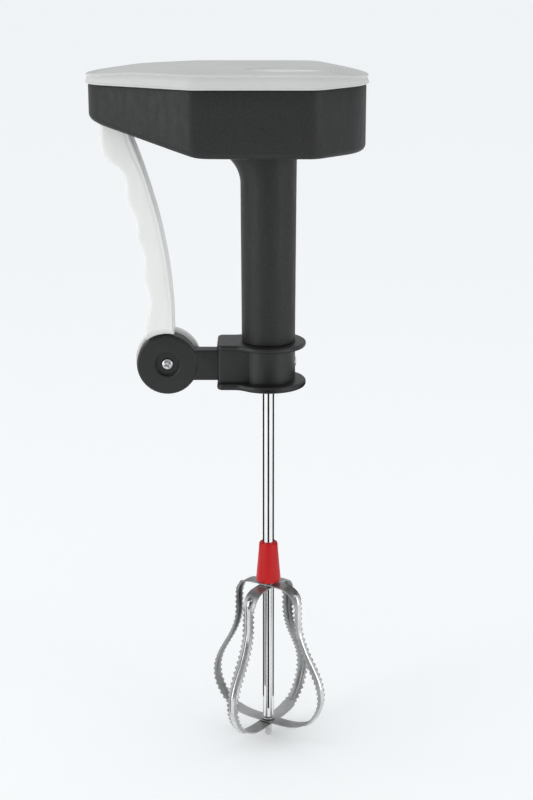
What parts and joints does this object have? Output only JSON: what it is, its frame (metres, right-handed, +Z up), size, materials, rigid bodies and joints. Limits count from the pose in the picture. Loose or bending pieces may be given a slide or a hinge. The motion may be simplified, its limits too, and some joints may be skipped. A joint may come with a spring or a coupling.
{
  "type": "squeeze-lever hand blender",
  "caption": "Hand-powered whisk with a tube handle and a squeeze lever: a rack and gears in the top housing spin the whisk shaft.",
  "frame": {"origin": "lower end of the whisk shaft's stub, on the shaft's axis", "axes": "+Z up the shaft towards the housing and its cover, -X towards the squeeze lever, +Y across the tool to the lever's far side"},
  "size_m": [0.1399, 0.0766, 0.3622],
  "materials": {
    "black_plastic": "fine matte grain",
    "pale_plastic": "satin, pale warm grey",
    "white_plastic": "soft gloss, near white",
    "red_plastic": "gloss",
    "gear_plastic": "natural acetal",
    "polished_steel": "polished stainless steel",
    "steel": "plain zinc-plated",
    "brass": "turned"
  },
  "bodies": {
    "housing": {"gear_housing": "black_plastic", "top_cover": "pale_plastic", "cover_screw_1": "steel", "cover_screw_2": "steel", "cover_screw_3": "steel", "cover_screw_4": "steel", "gear_plate": "steel", "plate_screw_1": "steel", "plate_screw_2": "steel", "plate_screw_3": "steel", "plate_screw_4": "steel", "upper_bush": "brass", "lower_bush": "brass", "idler_axle": "steel", "rack_guide": "gear_plastic", "guide_screw_1": "steel", "guide_screw_2": "steel", "hinge_bracket": "black_plastic", "bracket_screw": "steel", "pivot_screw": "steel", "pivot_sleeve": "steel", "pivot_nut": "steel", "return_spring": "steel"},
    "whisk": {"whisk_shaft": "polished_steel", "shaft_pinion": "brass", "shaft_stop_ring": "brass", "whisk_collar": "red_plastic", "whisk_blade_a": "polished_steel", "whisk_blade_b": "polished_steel", "whisk_washer": "steel"},
    "idler": {"idler_gear": "gear_plastic"},
    "rack": {"drive_rack": "gear_plastic"},
    "lever": {"squeeze_lever": "white_plastic", "drive_pin": "steel"}
  },
  "joints": [
    {"name": "whisk_spin", "type": "hinge", "parent": "housing", "child": "whisk", "pos_m": [0, 0, 0.3344], "axis": [0, 0, 1], "range_deg": [0, 1370]},
    {"name": "lever_pivot", "type": "hinge", "parent": "housing", "child": "lever", "pos_m": [-0.052, 0, 0.2117], "axis": [0, 1, 0], "range_deg": [0, 17.05], "stiffness_Nm_per_rad": 0.8, "springref_deg": -20.05},
    {"name": "rack_slide", "type": "slide", "parent": "housing", "child": "rack", "axis": [1, 0, 0], "range_m": [0, 0.0384]},
    {"name": "idler_spin", "type": "hinge", "parent": "housing", "child": "idler", "pos_m": [-0.012, -0.01499, 0.33], "axis": [0, 0, 1], "range_deg": [-457, 0]}
  ],
  "couplings": [
    {"joint": "lever_pivot", "follows": "whisk_spin", "ratio": 0.012408},
    {"joint": "rack_slide", "follows": "whisk_spin", "m_per_rad": 0.0016},
    {"joint": "idler_spin", "follows": "whisk_spin", "ratio": -0.33333}
  ]
}
